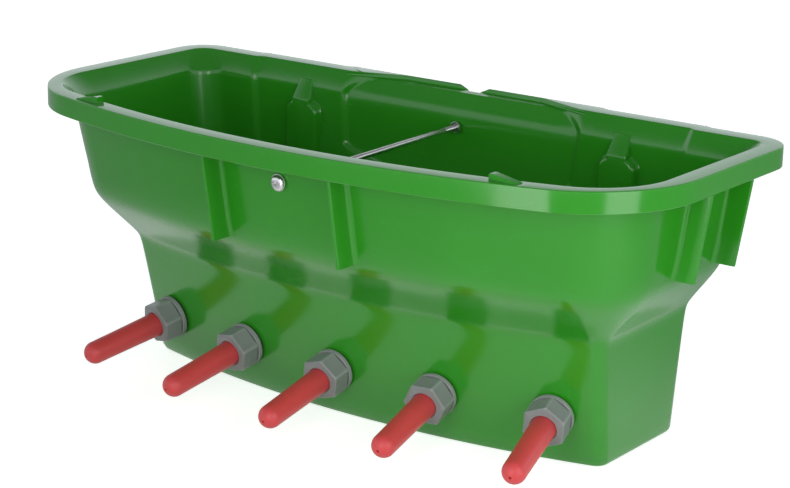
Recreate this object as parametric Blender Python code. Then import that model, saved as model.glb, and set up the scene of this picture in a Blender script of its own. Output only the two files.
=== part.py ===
"""Feeding bucket for calves: a long green tub with a row of five red teats along its low front wall.

Lengths are written in millimetres and turned into metres when a mesh is made. X runs along the tub,
+Y points at its back, and Z = 0 is the flat floor it stands on.
"""

import math

import bmesh
import bpy
from mathutils import Matrix, Vector

MM = 0.001

# Tub: overall sizes and wall
RIM_LENGTH = 760.0
RIM_DEPTH = 363.0
RIM_HEIGHT = 306.2
WALL = 4.0
FRONT_BOW = 1088.0
WALL_BOW_INSET = 33.0

# Tub: the rim's flat top, the cove from its inner edge down to the wall and the skirt on its outer edge
SKIRT_DROP = 21.1
SKIRT_WALL = 3.5
SKIRT_ROUND = 1.8
COVE_DROP = 22.0
COVE_POWER = 1.3
COVE_UNDER_LEAD = 1.5
RIM_END_BAND = 20.5
RIM_FRONT_BAND = 20.0
RIM_CORNER = 128.0
RIM_INNER_CORNER = 85.0
RIM_BACK_CORNER = 38.0

# Tub: how far under the rim the shoulders begin, and how far inside the rim's edge each wall stands
SHOULDER_DROP = 170.2
BACK_SHOULDER_DROP = 116.2
END_FOOT_INSET = 94.5
END_LOWER_SLOPE = 0.0625
END_SHOULDER_SLOPE = 0.866
END_BRIM_INSET = 26.4
END_UPPER_SLOPE = 0.122
FRONT_FOOT_INSET = 140.0
FRONT_LOWER_SLOPE = 0.2145
FRONT_SHOULDER_SLOPE = 1.15
FRONT_BRIM_INSET = 29.0
FRONT_UPPER_SLOPE = 0.1875
FOOT_SOFT = 5.0
BROW_SOFT = 9.0
LOWER_CORNER = 16.0
UPPER_CORNER = 80.0
WALL_BACK_CORNER = 16.0
FLOOR_ROUND = 6.0

# Tub: the back wall's middle panel, the two side panels beside it and the two end panels
BACK_FOOT = 43.0
BACK_LOWER_SLOPE = 0.015
BACK_SHOULDER_SLOPE = 0.5
BACK_UPPER_SLOPE = 0.045
PANEL_BRIM = (25.5, 30.5, 36.5)
RIM_PANEL_STEP = (0.0, 3.8, 6.8)
RIM_INNER_PANEL = (12.0, 24.0, 28.5)
RIM_PANEL_EDGE = (162.5, 284.0)
RIM_INNER_EDGE = (127.0, 276.0)
RIM_INNER_RUN = 52.0
PANEL_EDGE = (152.5, 276.5)
PANEL_EDGE_LEAN = (0.1, 0.11)
PANEL_STEP_RUN = 10.0
PANEL_EDGE_LEAST = 70.0
PANEL_SPREAD_OVER = 40.0
MIDDLE_FLARE = 10.0
MIDDLE_FLARE_DROP = 36.0

# Tub: lowered ledge in the back rim, with a notch in the thin lip behind it
LEDGE_DROP = 4.7
LEDGE_LIP = 2.8
LEDGE_HALF = 153.5
LEDGE_PAD_HALF = 146.0
LEDGE_PAD_CORNER = 98.0
LIP_HALF = 86.0
NOTCH_TOP = 17.5
NOTCH_BOTTOM = 7.0
NOTCH_DEPTH = 6.4

# Tub: stiffening fins under the rim, front and ends
FIN_THICK = 3.6
FRONT_FIN_X = 77.0
FIN_DROP = 112.4
FRONT_FIN_INSET = (28.4, 12.0, 8.2)
END_FIN_INSET = 18.0
END_FIN_Y = (85.7, 163.3)
FIN_BURIED = 1.4

# Tub: hook pockets pressed into the back wall, each with a sloping rib above
POCKET_X = 202.0
POCKET_HALF = 17.0
POCKET_CROWN_DROP = 40.2
POCKET_TALL = 78.0
POCKET_BACK = 41.5
POCKET_SKIRT_ROOM = 4.7
POCKET_RIB_HALF = (8.5, 11.5)
POCKET_RIB_DROP = 16.2

# Tub: wedge-shaped catch on each side of the front rim
CATCH_INSET = 142.0
CATCH_LONG = 30.0
CATCH_FLAT = 6.0
CATCH_HEIGHT = 5.8
CATCH_TAIL = 1.0
CATCH_WIDE = 9.5
CATCH_SETBACK = 0.5

# Teat stations
TEAT_END_INSET = 138.8
TEAT_HEIGHT = 53.3
TEAT_COUNT = 5
NECK_RADIUS = 13.0
FIT = 0.3
GAP = 0.3

# Tie rod across the middle
ROD_RADIUS = 3.0
ROD_FRONT_DROP = 42.0
ROD_BACK_DROP = 38.5
SLEEVE_RADIUS = 4.2

BACK_LINE = RIM_DEPTH / 2
HALF_LENGTH = RIM_LENGTH / 2
RIM_UNDERSIDE = RIM_HEIGHT - WALL
SKIRT_FOOT = RIM_HEIGHT - SKIRT_DROP
WALL_TOP = RIM_HEIGHT - COVE_DROP
WALL_BOW = FRONT_BOW - WALL_BOW_INSET
SHOULDER_FOOT = RIM_HEIGHT - SHOULDER_DROP
BACK_SHOULDER_FOOT = RIM_HEIGHT - BACK_SHOULDER_DROP
END_FOOT = HALF_LENGTH - END_FOOT_INSET
END_BRIM = HALF_LENGTH - END_BRIM_INSET
FRONT_FOOT = RIM_DEPTH - FRONT_FOOT_INSET
FRONT_BRIM = RIM_DEPTH - FRONT_BRIM_INSET
FIN_FOOT = RIM_HEIGHT - FIN_DROP
POCKET_CROWN = RIM_HEIGHT - POCKET_CROWN_DROP
POCKET_FLOOR = POCKET_CROWN - POCKET_TALL
CATCH_FROM = HALF_LENGTH - CATCH_INSET
TEAT_PITCH = (RIM_LENGTH - 2 * TEAT_END_INSET) / (TEAT_COUNT - 1)

for old in list(bpy.data.objects):
    bpy.data.objects.remove(old, do_unlink=True)


def material(name, colour, roughness, metallic=0.0):
    """A plain paint of the piece's own."""
    made = bpy.data.materials.new(name)
    made.use_nodes = True
    shader = made.node_tree.nodes["Principled BSDF"]
    shader.inputs["Base Color"].default_value = (*colour, 1.0)
    shader.inputs["Roughness"].default_value = roughness
    shader.inputs["Metallic"].default_value = metallic
    return made


def mesh_of(name, shape, sharp_degrees=30.0):
    """Turns a shape drawn in millimetres into a mesh in metres, smooth but for its sharp edges."""
    bmesh.ops.recalc_face_normals(shape, faces=shape.faces)
    bmesh.ops.scale(shape, vec=(MM, MM, MM), verts=shape.verts)
    mesh = bpy.data.meshes.new(name)
    shape.to_mesh(mesh)
    shape.free()
    mesh.shade_smooth()
    mesh.set_sharp_from_angle(angle=math.radians(sharp_degrees))
    return mesh


def add_object(name, mesh, place=None):
    """Puts a mesh in the scene under its own name."""
    made = bpy.data.objects.new(name, mesh)
    if place is not None:
        made.matrix_world = place
    bpy.context.scene.collection.objects.link(made)
    return made


def helper(name, mesh, place=None):
    """A guide that shapes another piece and isn't one itself."""
    made = add_object(name, mesh, place)
    made.hide_render = True
    made.display_type = "WIRE"
    return made


def join_or_cut(target, other, operation):
    """Adds one exact Boolean to a piece."""
    step = target.modifiers.new(other.name, "BOOLEAN")
    step.operation = operation
    step.solver = "EXACT"
    step.object = other


def prism(corners, low, high, axis):
    """A straight bar with a flat outline: corners are (u, v) pairs square to the axis it runs along."""
    shape = bmesh.new()
    rings = []
    for reach in (low, high):
        ring = []
        for u, v in corners:
            spot = {"X": (reach, u, v), "Y": (u, reach, v), "Z": (u, v, reach)}[axis]
            ring.append(shape.verts.new(spot))
        rings.append(ring)
    bridge(shape, rings[0], rings[1])
    shape.faces.new(rings[0])
    shape.faces.new(rings[1])
    return shape


def bridge(shape, first, second):
    """Quads between two closed rings with the same number of points."""
    for i in range(len(first)):
        j = (i + 1) % len(first)
        shape.faces.new((first[i], first[j], second[j], second[i]))


def turned(profile, segments, across_flats=None):
    """A lathe-turned piece: (radius, height) points spun round Z, some of them filed to a hexagon."""
    shape = bmesh.new()
    points = [shape.verts.new((radius, 0.0, height)) for radius, height in profile]
    edges = [shape.edges.new(pair) for pair in zip(points, points[1:])]
    if profile[0][0] > 0.0:
        edges.append(shape.edges.new((points[-1], points[0])))
    bmesh.ops.spin(
        shape,
        geom=points + edges,
        axis=(0.0, 0.0, 1.0),
        cent=(0.0, 0.0, 0.0),
        steps=segments,
        angle=2 * math.pi,
        use_merge=True,
    )
    bmesh.ops.remove_doubles(shape, verts=shape.verts, dist=1e-4)
    if across_flats:
        for vert in shape.verts:
            radius = math.hypot(vert.co.x, vert.co.y)
            if radius > across_flats / 2 - 2.5:
                turn = math.atan2(vert.co.y, vert.co.x) % (math.pi / 3) - math.pi / 6
                grow = radius / (across_flats / 2) / math.cos(turn)
                wanted = across_flats / 2 * grow
                vert.co.x *= wanted / radius
                vert.co.y *= wanted / radius
    return shape


# Tub walls. Each height has one outline, and the walls are the skins between outlines.

def soft_max(a, b, soft):
    return (a + b + math.hypot(a - b, soft)) / 2


def soft_min(a, b, soft):
    return (a + b - math.hypot(a - b, soft)) / 2


def reach_at(z, foot_z, foot, lower, shoulder, brim, upper):
    """How far a side stands out at height z: low wall, sloping shoulder and high wall, joined softly."""
    low_wall = foot + lower * z
    slope = foot + lower * foot_z + shoulder * (z - foot_z)
    high_wall = brim - upper * (RIM_HEIGHT - z)
    return soft_max(low_wall, soft_min(slope, high_wall, BROW_SOFT), FOOT_SOFT)


def end_reach(z):
    return reach_at(
        z, SHOULDER_FOOT, END_FOOT, END_LOWER_SLOPE, END_SHOULDER_SLOPE, END_BRIM, END_UPPER_SLOPE
    )


def front_reach(z):
    return reach_at(
        z, SHOULDER_FOOT, FRONT_FOOT, FRONT_LOWER_SLOPE, FRONT_SHOULDER_SLOPE, FRONT_BRIM, FRONT_UPPER_SLOPE
    )


def back_reach(z, panel):
    """The back's panels stand apart, and the middle one also flares out to the ledge above it."""
    brim = -PANEL_BRIM[panel]
    reach = reach_at(
        z, BACK_SHOULDER_FOOT, -BACK_FOOT, BACK_LOWER_SLOPE, BACK_SHOULDER_SLOPE, brim, BACK_UPPER_SLOPE
    )
    near_top = max(1.0 - (RIM_HEIGHT - z) / MIDDLE_FLARE_DROP, 0.0)
    return reach + (MIDDLE_FLARE * near_top**2 if panel == 0 else 0.0)


def shifted(reach, z, depth):
    """The reach of the skin that lies `depth` under the outer one."""
    slope = reach(z + 0.5) - reach(z - 0.5)
    return reach(z) - depth * math.hypot(1.0, slope)


def wall_level(z, depth):
    """Sizes of the wall's outline at height z, `depth` under its outer skin."""
    end = shifted(end_reach, z, depth)
    share = (end_reach(z) - END_FOOT - 9.0) / (END_BRIM - END_FOOT - 20.0)
    share = min(max(share, 0.0), 1.0)
    sunk = RIM_HEIGHT - z
    edges = [edge - lean * sunk for edge, lean in zip(PANEL_EDGE, PANEL_EDGE_LEAN)]
    under_spread = max(BACK_SHOULDER_FOOT + PANEL_SPREAD_OVER - z, 0.0)
    edges[0] = max(edges[0] - 0.16 * under_spread**2, PANEL_EDGE_LEAST)
    backs = [
        BACK_LINE + shifted(lambda h, panel=panel: back_reach(h, panel), z, depth) for panel in (0, 1, 2)
    ]
    return {
        "z": z,
        "end": end,
        "front": BACK_LINE - shifted(front_reach, z, depth),
        "backs": backs,
        "edges": edges,
        "runs": (PANEL_STEP_RUN, PANEL_STEP_RUN),
        "corner": LOWER_CORNER + (UPPER_CORNER - LOWER_CORNER) * share - depth,
        "back_corner": WALL_BACK_CORNER - depth,
        "bow": WALL_BOW - depth,
    }


def rim_level(z, inset):
    """Sizes of the rim's outline at height z, `inset` from its outer edge."""
    return {
        "z": z,
        "end": HALF_LENGTH - inset,
        "front": -BACK_LINE + inset,
        "backs": [BACK_LINE - step - inset for step in RIM_PANEL_STEP],
        "edges": RIM_PANEL_EDGE,
        "runs": (PANEL_STEP_RUN, PANEL_STEP_RUN),
        "corner": RIM_CORNER - inset,
        "back_corner": RIM_BACK_CORNER - inset,
        "bow": FRONT_BOW - inset,
    }


def rim_inner_level(z, lead):
    """Sizes of the outline along the rim's inner edge, `lead` outside it."""
    level = rim_level(z, RIM_END_BAND - lead)
    level["front"] = RIM_FRONT_BAND - lead - BACK_LINE
    level["backs"] = [BACK_LINE - panel + lead for panel in RIM_INNER_PANEL]
    level["edges"] = RIM_INNER_EDGE
    level["runs"] = (RIM_INNER_RUN, PANEL_STEP_RUN)
    level["corner"] = RIM_INNER_CORNER + lead
    return level


def blend(first, second, share, z):
    """Sizes part of the way between two levels."""
    made = {}
    for key in first:
        a, b = first[key], second[key]
        if isinstance(a, (list, tuple)):
            made[key] = [u + (v - u) * share for u, v in zip(a, b)]
        else:
            made[key] = a + (b - a) * share
    made["z"] = z
    return made


def outline(level):
    """Points of one level, from the back's middle round the right end to the front's middle and back."""
    end, front = level["end"], level["front"]
    backs, edges = level["backs"], level["edges"]
    half = [(0.0, backs[0])]
    for panel, edge in enumerate(edges):
        for share in (0.0, 0.5, 1.0):
            y = backs[panel] + (backs[panel + 1] - backs[panel]) * share
            half.append((edge + level["runs"][panel] * (share - 0.5), y))
    radius = level["back_corner"]
    for step in range(5):
        turn = math.radians(90.0 - 22.5 * step)
        half.append((end - radius + radius * math.cos(turn), backs[2] - radius + radius * math.sin(turn)))
    radius, bow = level["corner"], level["bow"]
    centre_x = end - radius
    bow_y = front + bow
    centre_y = bow_y - math.sqrt((bow - radius) ** 2 - centre_x**2)
    last = math.atan2(centre_y - bow_y, centre_x)
    for step in range(9):
        turn = last * step / 8
        half.append((centre_x + radius * math.cos(turn), centre_y + radius * math.sin(turn)))
    for step in range(1, 8):
        turn = last + (-math.pi / 2 - last) * step / 7
        half.append((bow * math.cos(turn), bow_y + bow * math.sin(turn)))
    half[-1] = (0.0, front)
    return half + [(-x, y) for x, y in reversed(half[1:-1])]


def tub_levels():
    """All levels, from the floor's underside up the outside, over the rim and down the inside."""
    heights = [FLOOR_ROUND]
    heights += [SHOULDER_FOOT + step for step in (-10, -3, 3, 11)]
    heights += [BACK_SHOULDER_FOOT + step for step in (-15, -6, 1, 9, 18, 26, PANEL_SPREAD_OVER)]
    heights += [RIM_HEIGHT - MIDDLE_FLARE_DROP, RIM_HEIGHT - 0.65 * MIDDLE_FLARE_DROP]
    levels = []
    floor = wall_level(0.0, 0.0)
    for turn in (0, 45):
        drop = FLOOR_ROUND * (1 - math.cos(math.radians(turn)))
        inset = FLOOR_ROUND * (1 - math.sin(math.radians(turn)))
        levels.append(blend(floor, wall_level(0.0, inset), 1.0, drop))
    levels += [wall_level(z, 0.0) for z in heights]

    wall_top = wall_level(WALL_TOP, 0.0)
    under_inner = rim_inner_level(RIM_UNDERSIDE, COVE_UNDER_LEAD)
    levels.append(wall_top)
    for part in (1 / 3, 2 / 3):
        height = WALL_TOP + (COVE_DROP - WALL) * part
        levels.append(blend(wall_top, under_inner, part**COVE_POWER, height))
    levels.append(under_inner)
    levels.append(rim_level(RIM_UNDERSIDE, SKIRT_WALL))
    levels.append(rim_level(SKIRT_FOOT, SKIRT_WALL))
    levels.append(rim_level(SKIRT_FOOT, 0.6))
    levels.append(rim_level(SKIRT_FOOT + 0.6, 0.0))
    levels.append(rim_level(RIM_HEIGHT - SKIRT_ROUND, 0.0))
    levels.append(rim_level(RIM_HEIGHT - SKIRT_ROUND * 0.3, SKIRT_ROUND * 0.3))
    levels.append(rim_level(RIM_HEIGHT, SKIRT_ROUND))
    top_inner = rim_inner_level(RIM_HEIGHT, 0.0)
    inner_top = wall_level(WALL_TOP, WALL)
    levels.append(top_inner)
    for part in (0.28, 0.62):
        share = 1 - (1 - part) ** COVE_POWER
        levels.append(blend(top_inner, inner_top, share, RIM_HEIGHT - COVE_DROP * part))
    levels.append(inner_top)
    inside = [z for z in reversed(heights) if z > FLOOR_ROUND + WALL]
    levels += [wall_level(z, WALL) for z in inside]
    inner_floor = wall_level(WALL, WALL)
    levels.append(wall_level(WALL + FLOOR_ROUND - 1.0, WALL))
    for turn in (45, 90):
        drop = (FLOOR_ROUND - 1.0) * (1 - math.sin(math.radians(turn)))
        inset = WALL + (FLOOR_ROUND - 1.0) * (1 - math.cos(math.radians(turn)))
        levels.append(blend(inner_floor, wall_level(WALL, inset), 1.0, WALL + drop))
    return levels


def tub_shell():
    shape = bmesh.new()
    rings = []
    for level in tub_levels():
        rings.append([shape.verts.new((x, y, level["z"])) for x, y in outline(level)])
    for first, second in zip(rings, rings[1:]):
        bridge(shape, first, second)
    shape.faces.new(rings[0])
    shape.faces.new(rings[-1])
    return shape


def front_sag(x):
    """How much nearer the back the bowed front lies at x than in its middle."""
    return WALL_BOW - math.sqrt(WALL_BOW**2 - x**2)


tub = add_object("tub", mesh_of("tub", tub_shell()))
tub.data.materials.append(material("green_polypropylene", (0.05, 0.27, 0.04), 0.32))


# Fins under the rim: a tapering plate from the wall out to just inside the skirt.

def fin_root(foot, band, wall):
    """The fin's hidden edge, inside the wall: insets from the rim's edge, from the top down."""
    buried = RIM_UNDERSIDE + FIN_BURIED
    edge, brow = band - 1.0, wall(WALL_TOP) + WALL / 2
    return [
        (edge, buried), ((edge + brow) / 2, RIM_HEIGHT - COVE_DROP / 2), (brow, WALL_TOP),
        (wall(foot) + WALL / 2, foot),
    ]


def front_fin(x):
    foot, brow = FIN_FOOT, SKIRT_FOOT - 2.5
    toe, middle, top = FRONT_FIN_INSET
    corners = [(toe, foot), (middle, brow), (top, RIM_UNDERSIDE + FIN_BURIED)]
    for inset, z in fin_root(foot, RIM_FRONT_BAND, lambda h: RIM_DEPTH - front_reach(h)):
        corners.append((inset + front_sag(x), z))
    corners = [(inset - BACK_LINE, z) for inset, z in corners]
    return prism(corners, x - FIN_THICK / 2, x + FIN_THICK / 2, "X")


def end_fin(side, back):
    foot = FIN_FOOT + 2.0
    corners = [
        (END_FIN_INSET, foot),
        (SKIRT_WALL + 3.2, SKIRT_FOOT - 9.0),
        (SKIRT_WALL - 1.0, SKIRT_FOOT - 2.0),
        (SKIRT_WALL - 1.0, RIM_UNDERSIDE + FIN_BURIED),
    ]
    corners += fin_root(foot, RIM_END_BAND, lambda h: HALF_LENGTH - end_reach(h))
    corners = [(side * (HALF_LENGTH - inset), z) for inset, z in corners]
    y = BACK_LINE - back
    return prism(corners, y - FIN_THICK / 2, y + FIN_THICK / 2, "Y")


for side, hand in ((-1, "left"), (1, "right")):
    fin = helper(f"front_fin_{hand}", mesh_of("front_fin", front_fin(side * FRONT_FIN_X)))
    join_or_cut(tub, fin, "UNION")
    for order, back in enumerate(END_FIN_Y):
        fin = helper(f"end_fin_{hand}_{order}", mesh_of("end_fin", end_fin(side, back)))
        join_or_cut(tub, fin, "UNION")


# Hook pockets: an arched boss stands into the tub and is hollow from behind. Above its crown a rib
# slopes from the boss's face up to the wall, hollow from behind too.

def arch(x, half, crown, foot):
    """Outline of an arched niche."""
    points = [(x - half, foot)]
    for step in range(7):
        turn = math.radians(30.0 * step)
        points.append((x + half * math.cos(turn), crown - half + half * math.sin(turn)))
    points.insert(1, (x + half, foot))
    return points


def sloping_rib(x, halves, face, wall, root, top, crown, depth):
    """A wedge from the wall's face at the top out to the boss's face at the crown."""
    shape = bmesh.new()
    narrow, wide = halves
    rings = []
    for y, z, half in (
        (wall, top, narrow),
        (face, crown, wide),
        (face, crown - depth, wide),
        (root, crown - depth, wide),
        (root, top, narrow),
    ):
        rings.append((shape.verts.new((x - half, y, z)), shape.verts.new((x + half, y, z))))
    lefts = [pair[0] for pair in rings]
    rights = [pair[1] for pair in rings]
    bridge(shape, lefts, rights)
    for ends in (lefts, rights):
        bmesh.ops.triangulate(shape, faces=[shape.faces.new(ends)])
    return shape


for side, hand in ((-1, "left"), (1, "right")):
    x = side * POCKET_X
    boss_inner = BACK_LINE - POCKET_BACK - WALL
    rib_top = RIM_HEIGHT - POCKET_RIB_DROP
    boss = arch(x, POCKET_HALF + WALL, POCKET_CROWN + WALL, POCKET_FLOOR)
    wall_outer = BACK_LINE + back_reach(rib_top, 1)
    wall_middle = wall_outer - WALL * 0.6
    body = helper(f"pocket_boss_{hand}", mesh_of("pocket_boss", prism(boss, boss_inner, wall_middle, "Y")))
    join_or_cut(tub, body, "UNION")
    rib_shape = sloping_rib(
        x, POCKET_RIB_HALF, boss_inner, wall_outer - WALL, wall_middle, rib_top, POCKET_CROWN + WALL, 4 * WALL
    )
    rib = helper(f"pocket_rib_{hand}", mesh_of("pocket_rib", rib_shape))
    join_or_cut(tub, rib, "UNION")
    mouth = BACK_LINE - RIM_PANEL_STEP[1] - SKIRT_WALL - POCKET_SKIRT_ROOM
    hollow = arch(x, POCKET_HALF, POCKET_CROWN, POCKET_FLOOR - 2 * WALL)
    niche = helper(
        f"pocket_hollow_{hand}",
        mesh_of("pocket_hollow", prism(hollow, BACK_LINE - POCKET_BACK, mouth, "Y")),
    )
    join_or_cut(tub, niche, "DIFFERENCE")


# Back rim: a ledge let into the middle, bounded by a slanting riser, and a notch in the lip behind it.

def ledge_plan(right, low, high):
    """A plate seen from above: its right half's corners, mirrored."""
    return prism(right + [(-x, y) for x, y in reversed(right)], low, high, "Z")


ledge_z = RIM_HEIGHT - LEDGE_DROP
middle_band, side_band, end_band = RIM_INNER_PANEL
pad_outline = [
    (LEDGE_PAD_HALF, BACK_LINE - SKIRT_WALL + 1.0),
    (LEDGE_PAD_HALF, BACK_LINE - side_band + 2.0),
    (LEDGE_PAD_CORNER, BACK_LINE - middle_band - 4.2),
]
pad_shape = ledge_plan(pad_outline, ledge_z - WALL, RIM_UNDERSIDE + 1.5)
pad = helper("ledge_pad", mesh_of("ledge_pad", pad_shape))
join_or_cut(tub, pad, "UNION")

room_outline = [
    (LIP_HALF, BACK_LINE - LEDGE_LIP),
    (LEDGE_HALF, BACK_LINE - side_band - 1.8),
    (LEDGE_HALF, BACK_LINE - side_band - COVE_DROP),
]
room_shape = ledge_plan(room_outline, ledge_z, RIM_HEIGHT + 8.0)
room = helper("ledge_room", mesh_of("ledge_room", room_shape))
join_or_cut(tub, room, "DIFFERENCE")

notch_points = [
    (-NOTCH_TOP - 6.0, RIM_HEIGHT + 2.0),
    (NOTCH_TOP + 6.0, RIM_HEIGHT + 2.0),
    (NOTCH_BOTTOM, RIM_HEIGHT - NOTCH_DEPTH),
    (-NOTCH_BOTTOM, RIM_HEIGHT - NOTCH_DEPTH),
]
notch = helper(
    "lip_notch", mesh_of("lip_notch", prism(notch_points, BACK_LINE - LEDGE_LIP - 3.0, BACK_LINE + 3.0, "Y"))
)
join_or_cut(tub, notch, "DIFFERENCE")


# Front rim: a small catch on the inner half of each side, tall at its inner end and sloping away outward.

for side, hand in ((-1, "left"), (1, "right")):
    inner = RIM_FRONT_BAND - BACK_LINE + front_sag(CATCH_FROM)
    buried = RIM_HEIGHT - WALL / 2
    catch_points = [
        (side * CATCH_FROM, buried),
        (side * CATCH_FROM, RIM_HEIGHT + CATCH_HEIGHT),
        (side * (CATCH_FROM + CATCH_FLAT), RIM_HEIGHT + CATCH_HEIGHT),
        (side * (CATCH_FROM + CATCH_LONG), RIM_HEIGHT + CATCH_TAIL),
        (side * (CATCH_FROM + CATCH_LONG), buried),
    ]
    near, far = inner - CATCH_SETBACK - CATCH_WIDE, inner - CATCH_SETBACK
    catch = helper(f"catch_{hand}", mesh_of("catch", prism(catch_points, near, far, "Y")))
    join_or_cut(tub, catch, "UNION")


# Teat stations, each square to the leaning wall. Local +Z points out of the tub along the teat.

RUBBER = material("red_rubber", (0.51, 0.053, 0.053), 0.42)
GREY = material("grey_nylon", (0.24, 0.26, 0.255), 0.45)
BLACK = material("black_seal_rubber", (0.02, 0.02, 0.02), 0.6)
WHITE = material("white_acetal", (0.75, 0.75, 0.72), 0.35)
STEEL = material("stainless_steel", (0.62, 0.61, 0.58), 0.28, 1.0)

SEAL_FACE = 2.0
SEAL_RADIUS = 21.0
COLLAR_FROM = SEAL_FACE + GAP
COLLAR_THICK = 5.0
COLLAR_RADIUS = 22.5
NUT_FROM = COLLAR_FROM + COLLAR_THICK + GAP
NUT_FRONT = 28.5
NUT_ACROSS = 40.6
NUT_LIP = 3.0
CAVITY_RADIUS = 16.5
THREAD_RADIUS = CAVITY_RADIUS - FIT
BODY_FRONT = 19.6
BODY_BACK = -17.0
TEAT_FLANGE_FROM = BODY_FRONT + GAP
TEAT_FLANGE_TO = NUT_FRONT - NUT_LIP - GAP
TEAT_BASE = 12.9
TEAT_MIDDLE = 12.3
TEAT_TIP = 12.0
TEAT_TAPER = 30.0
TEAT_REACH = 77.7
TIP_CENTRE = NUT_FRONT + TEAT_REACH
RUBBER_WALL = 3.2
ORIFICE = 1.3
LOCK_ROOM = 0.7
LOCK_FROM = -WALL - LOCK_ROOM
LOCK_THICK = 7.0
LOCK_ACROSS = 36.0
BALL = 4.5
BORE = 5.3
SEAT_RADIUS = 3.5
SEAT_Z = -4.0
BALL_TRAVEL = 3.7
BALL_SEATED = SEAT_Z + math.sqrt(BALL**2 - SEAT_RADIUS**2) + GAP
BALL_REST = BALL_SEATED + BALL_TRAVEL
RETAINER_BORE = 3.3
RETAINER_FROM = BALL_REST + math.sqrt(BALL**2 - RETAINER_BORE**2) + GAP
RETAINER_THICK = 2.6
RETAINER_RADIUS = 6.6

seal_mesh = mesh_of(
    "sealing_gasket",
    turned(
        [
            (NECK_RADIUS + FIT, SEAL_FACE),
            (SEAL_RADIUS, SEAL_FACE),
            (SEAL_RADIUS, GAP),
            (NECK_RADIUS + FIT, GAP),
        ],
        16,
    ),
)

body_profile = [
    (NECK_RADIUS, BODY_BACK),
    (NECK_RADIUS, COLLAR_FROM),
    (COLLAR_RADIUS, COLLAR_FROM),
    (COLLAR_RADIUS, COLLAR_FROM + COLLAR_THICK),
    (THREAD_RADIUS, COLLAR_FROM + COLLAR_THICK),
    (THREAD_RADIUS, BODY_FRONT),
    (RETAINER_RADIUS + FIT, BODY_FRONT),
    (RETAINER_RADIUS + FIT, RETAINER_FROM - GAP),
    (BORE, RETAINER_FROM - GAP),
    (BORE, SEAT_Z),
    (SEAT_RADIUS, SEAT_Z),
    (SEAT_RADIUS, BODY_BACK),
]
body_mesh = mesh_of("valve_body", turned(body_profile, 16))

nut_profile = [
    (CAVITY_RADIUS, NUT_FROM),
    (NUT_ACROSS / 2, NUT_FROM),
    (NUT_ACROSS / 2, NUT_FRONT - 1.6),
    (NUT_ACROSS / 2 - 1.6, NUT_FRONT),
    (TEAT_BASE + FIT, NUT_FRONT),
    (TEAT_BASE + FIT, NUT_FRONT - NUT_LIP),
    (CAVITY_RADIUS, NUT_FRONT - NUT_LIP),
]
nut_mesh = mesh_of("union_nut", turned(nut_profile, 24, NUT_ACROSS))

lock_profile = [
    (NECK_RADIUS + FIT, LOCK_FROM),
    (NECK_RADIUS + FIT, LOCK_FROM - LOCK_THICK),
    (LOCK_ACROSS / 2, LOCK_FROM - LOCK_THICK),
    (LOCK_ACROSS / 2, LOCK_FROM),
]
lock_mesh = mesh_of("lock_nut", turned(lock_profile, 24, LOCK_ACROSS))

teat_profile = [
    (CAVITY_RADIUS - FIT, TEAT_FLANGE_FROM),
    (CAVITY_RADIUS - FIT, TEAT_FLANGE_TO),
    (TEAT_BASE, TEAT_FLANGE_TO),
    (TEAT_BASE, NUT_FRONT + 2.0),
    (TEAT_MIDDLE, NUT_FRONT + TEAT_TAPER),
]
for turn in (0, 22, 44, 66):
    teat_profile.append(
        (
            TEAT_TIP * math.cos(math.radians(turn)),
            TIP_CENTRE + TEAT_TIP * math.sin(math.radians(turn)),
        )
    )
inner_tip = TEAT_TIP - RUBBER_WALL
teat_profile.append((ORIFICE, TIP_CENTRE + math.sqrt(TEAT_TIP**2 - ORIFICE**2)))
teat_profile.append((ORIFICE, TIP_CENTRE + math.sqrt(inner_tip**2 - ORIFICE**2)))
for turn in (50, 0):
    teat_profile.append(
        (
            inner_tip * math.cos(math.radians(turn)),
            TIP_CENTRE + inner_tip * math.sin(math.radians(turn)),
        )
    )
teat_profile.append((TEAT_BASE - RUBBER_WALL, TEAT_FLANGE_FROM))
teat_mesh = mesh_of("teat", turned(teat_profile, 18), 40.0)

retainer_profile = [
    (RETAINER_BORE, RETAINER_FROM),
    (RETAINER_RADIUS, RETAINER_FROM),
    (RETAINER_RADIUS, RETAINER_FROM + RETAINER_THICK),
    (RETAINER_BORE, RETAINER_FROM + RETAINER_THICK),
]
retainer_shape = turned(retainer_profile, 16)
for vert in retainer_shape.verts:
    radius = math.hypot(vert.co.x, vert.co.y)
    quarter = math.degrees(math.atan2(vert.co.y, vert.co.x)) % 90.0
    if radius < RETAINER_RADIUS - 1.0 and min(quarter, 90.0 - quarter) < 5.0:
        vert.co.x *= (RETAINER_RADIUS - 1.5) / radius
        vert.co.y *= (RETAINER_RADIUS - 1.5) / radius
retainer_mesh = mesh_of("ball_retainer", retainer_shape)

ball_shape = bmesh.new()
bmesh.ops.create_icosphere(ball_shape, subdivisions=2, radius=BALL)
ball_mesh = mesh_of("check_ball", ball_shape, 80.0)

for mesh, paint in (
    (seal_mesh, BLACK),
    (body_mesh, GREY),
    (nut_mesh, GREY),
    (lock_mesh, GREY),
    (teat_mesh, RUBBER),
    (retainer_mesh, WHITE),
    (ball_mesh, WHITE),
):
    mesh.materials.append(paint)

hole_radius = NECK_RADIUS + FIT
hole_in, hole_out = -3.5 * WALL, 3.0 * WALL
hole_profile = [(0.0, hole_out), (hole_radius, hole_out), (hole_radius, hole_in), (0.0, hole_in)]
hole_mesh = mesh_of("teat_hole", turned(hole_profile, 20))

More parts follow.
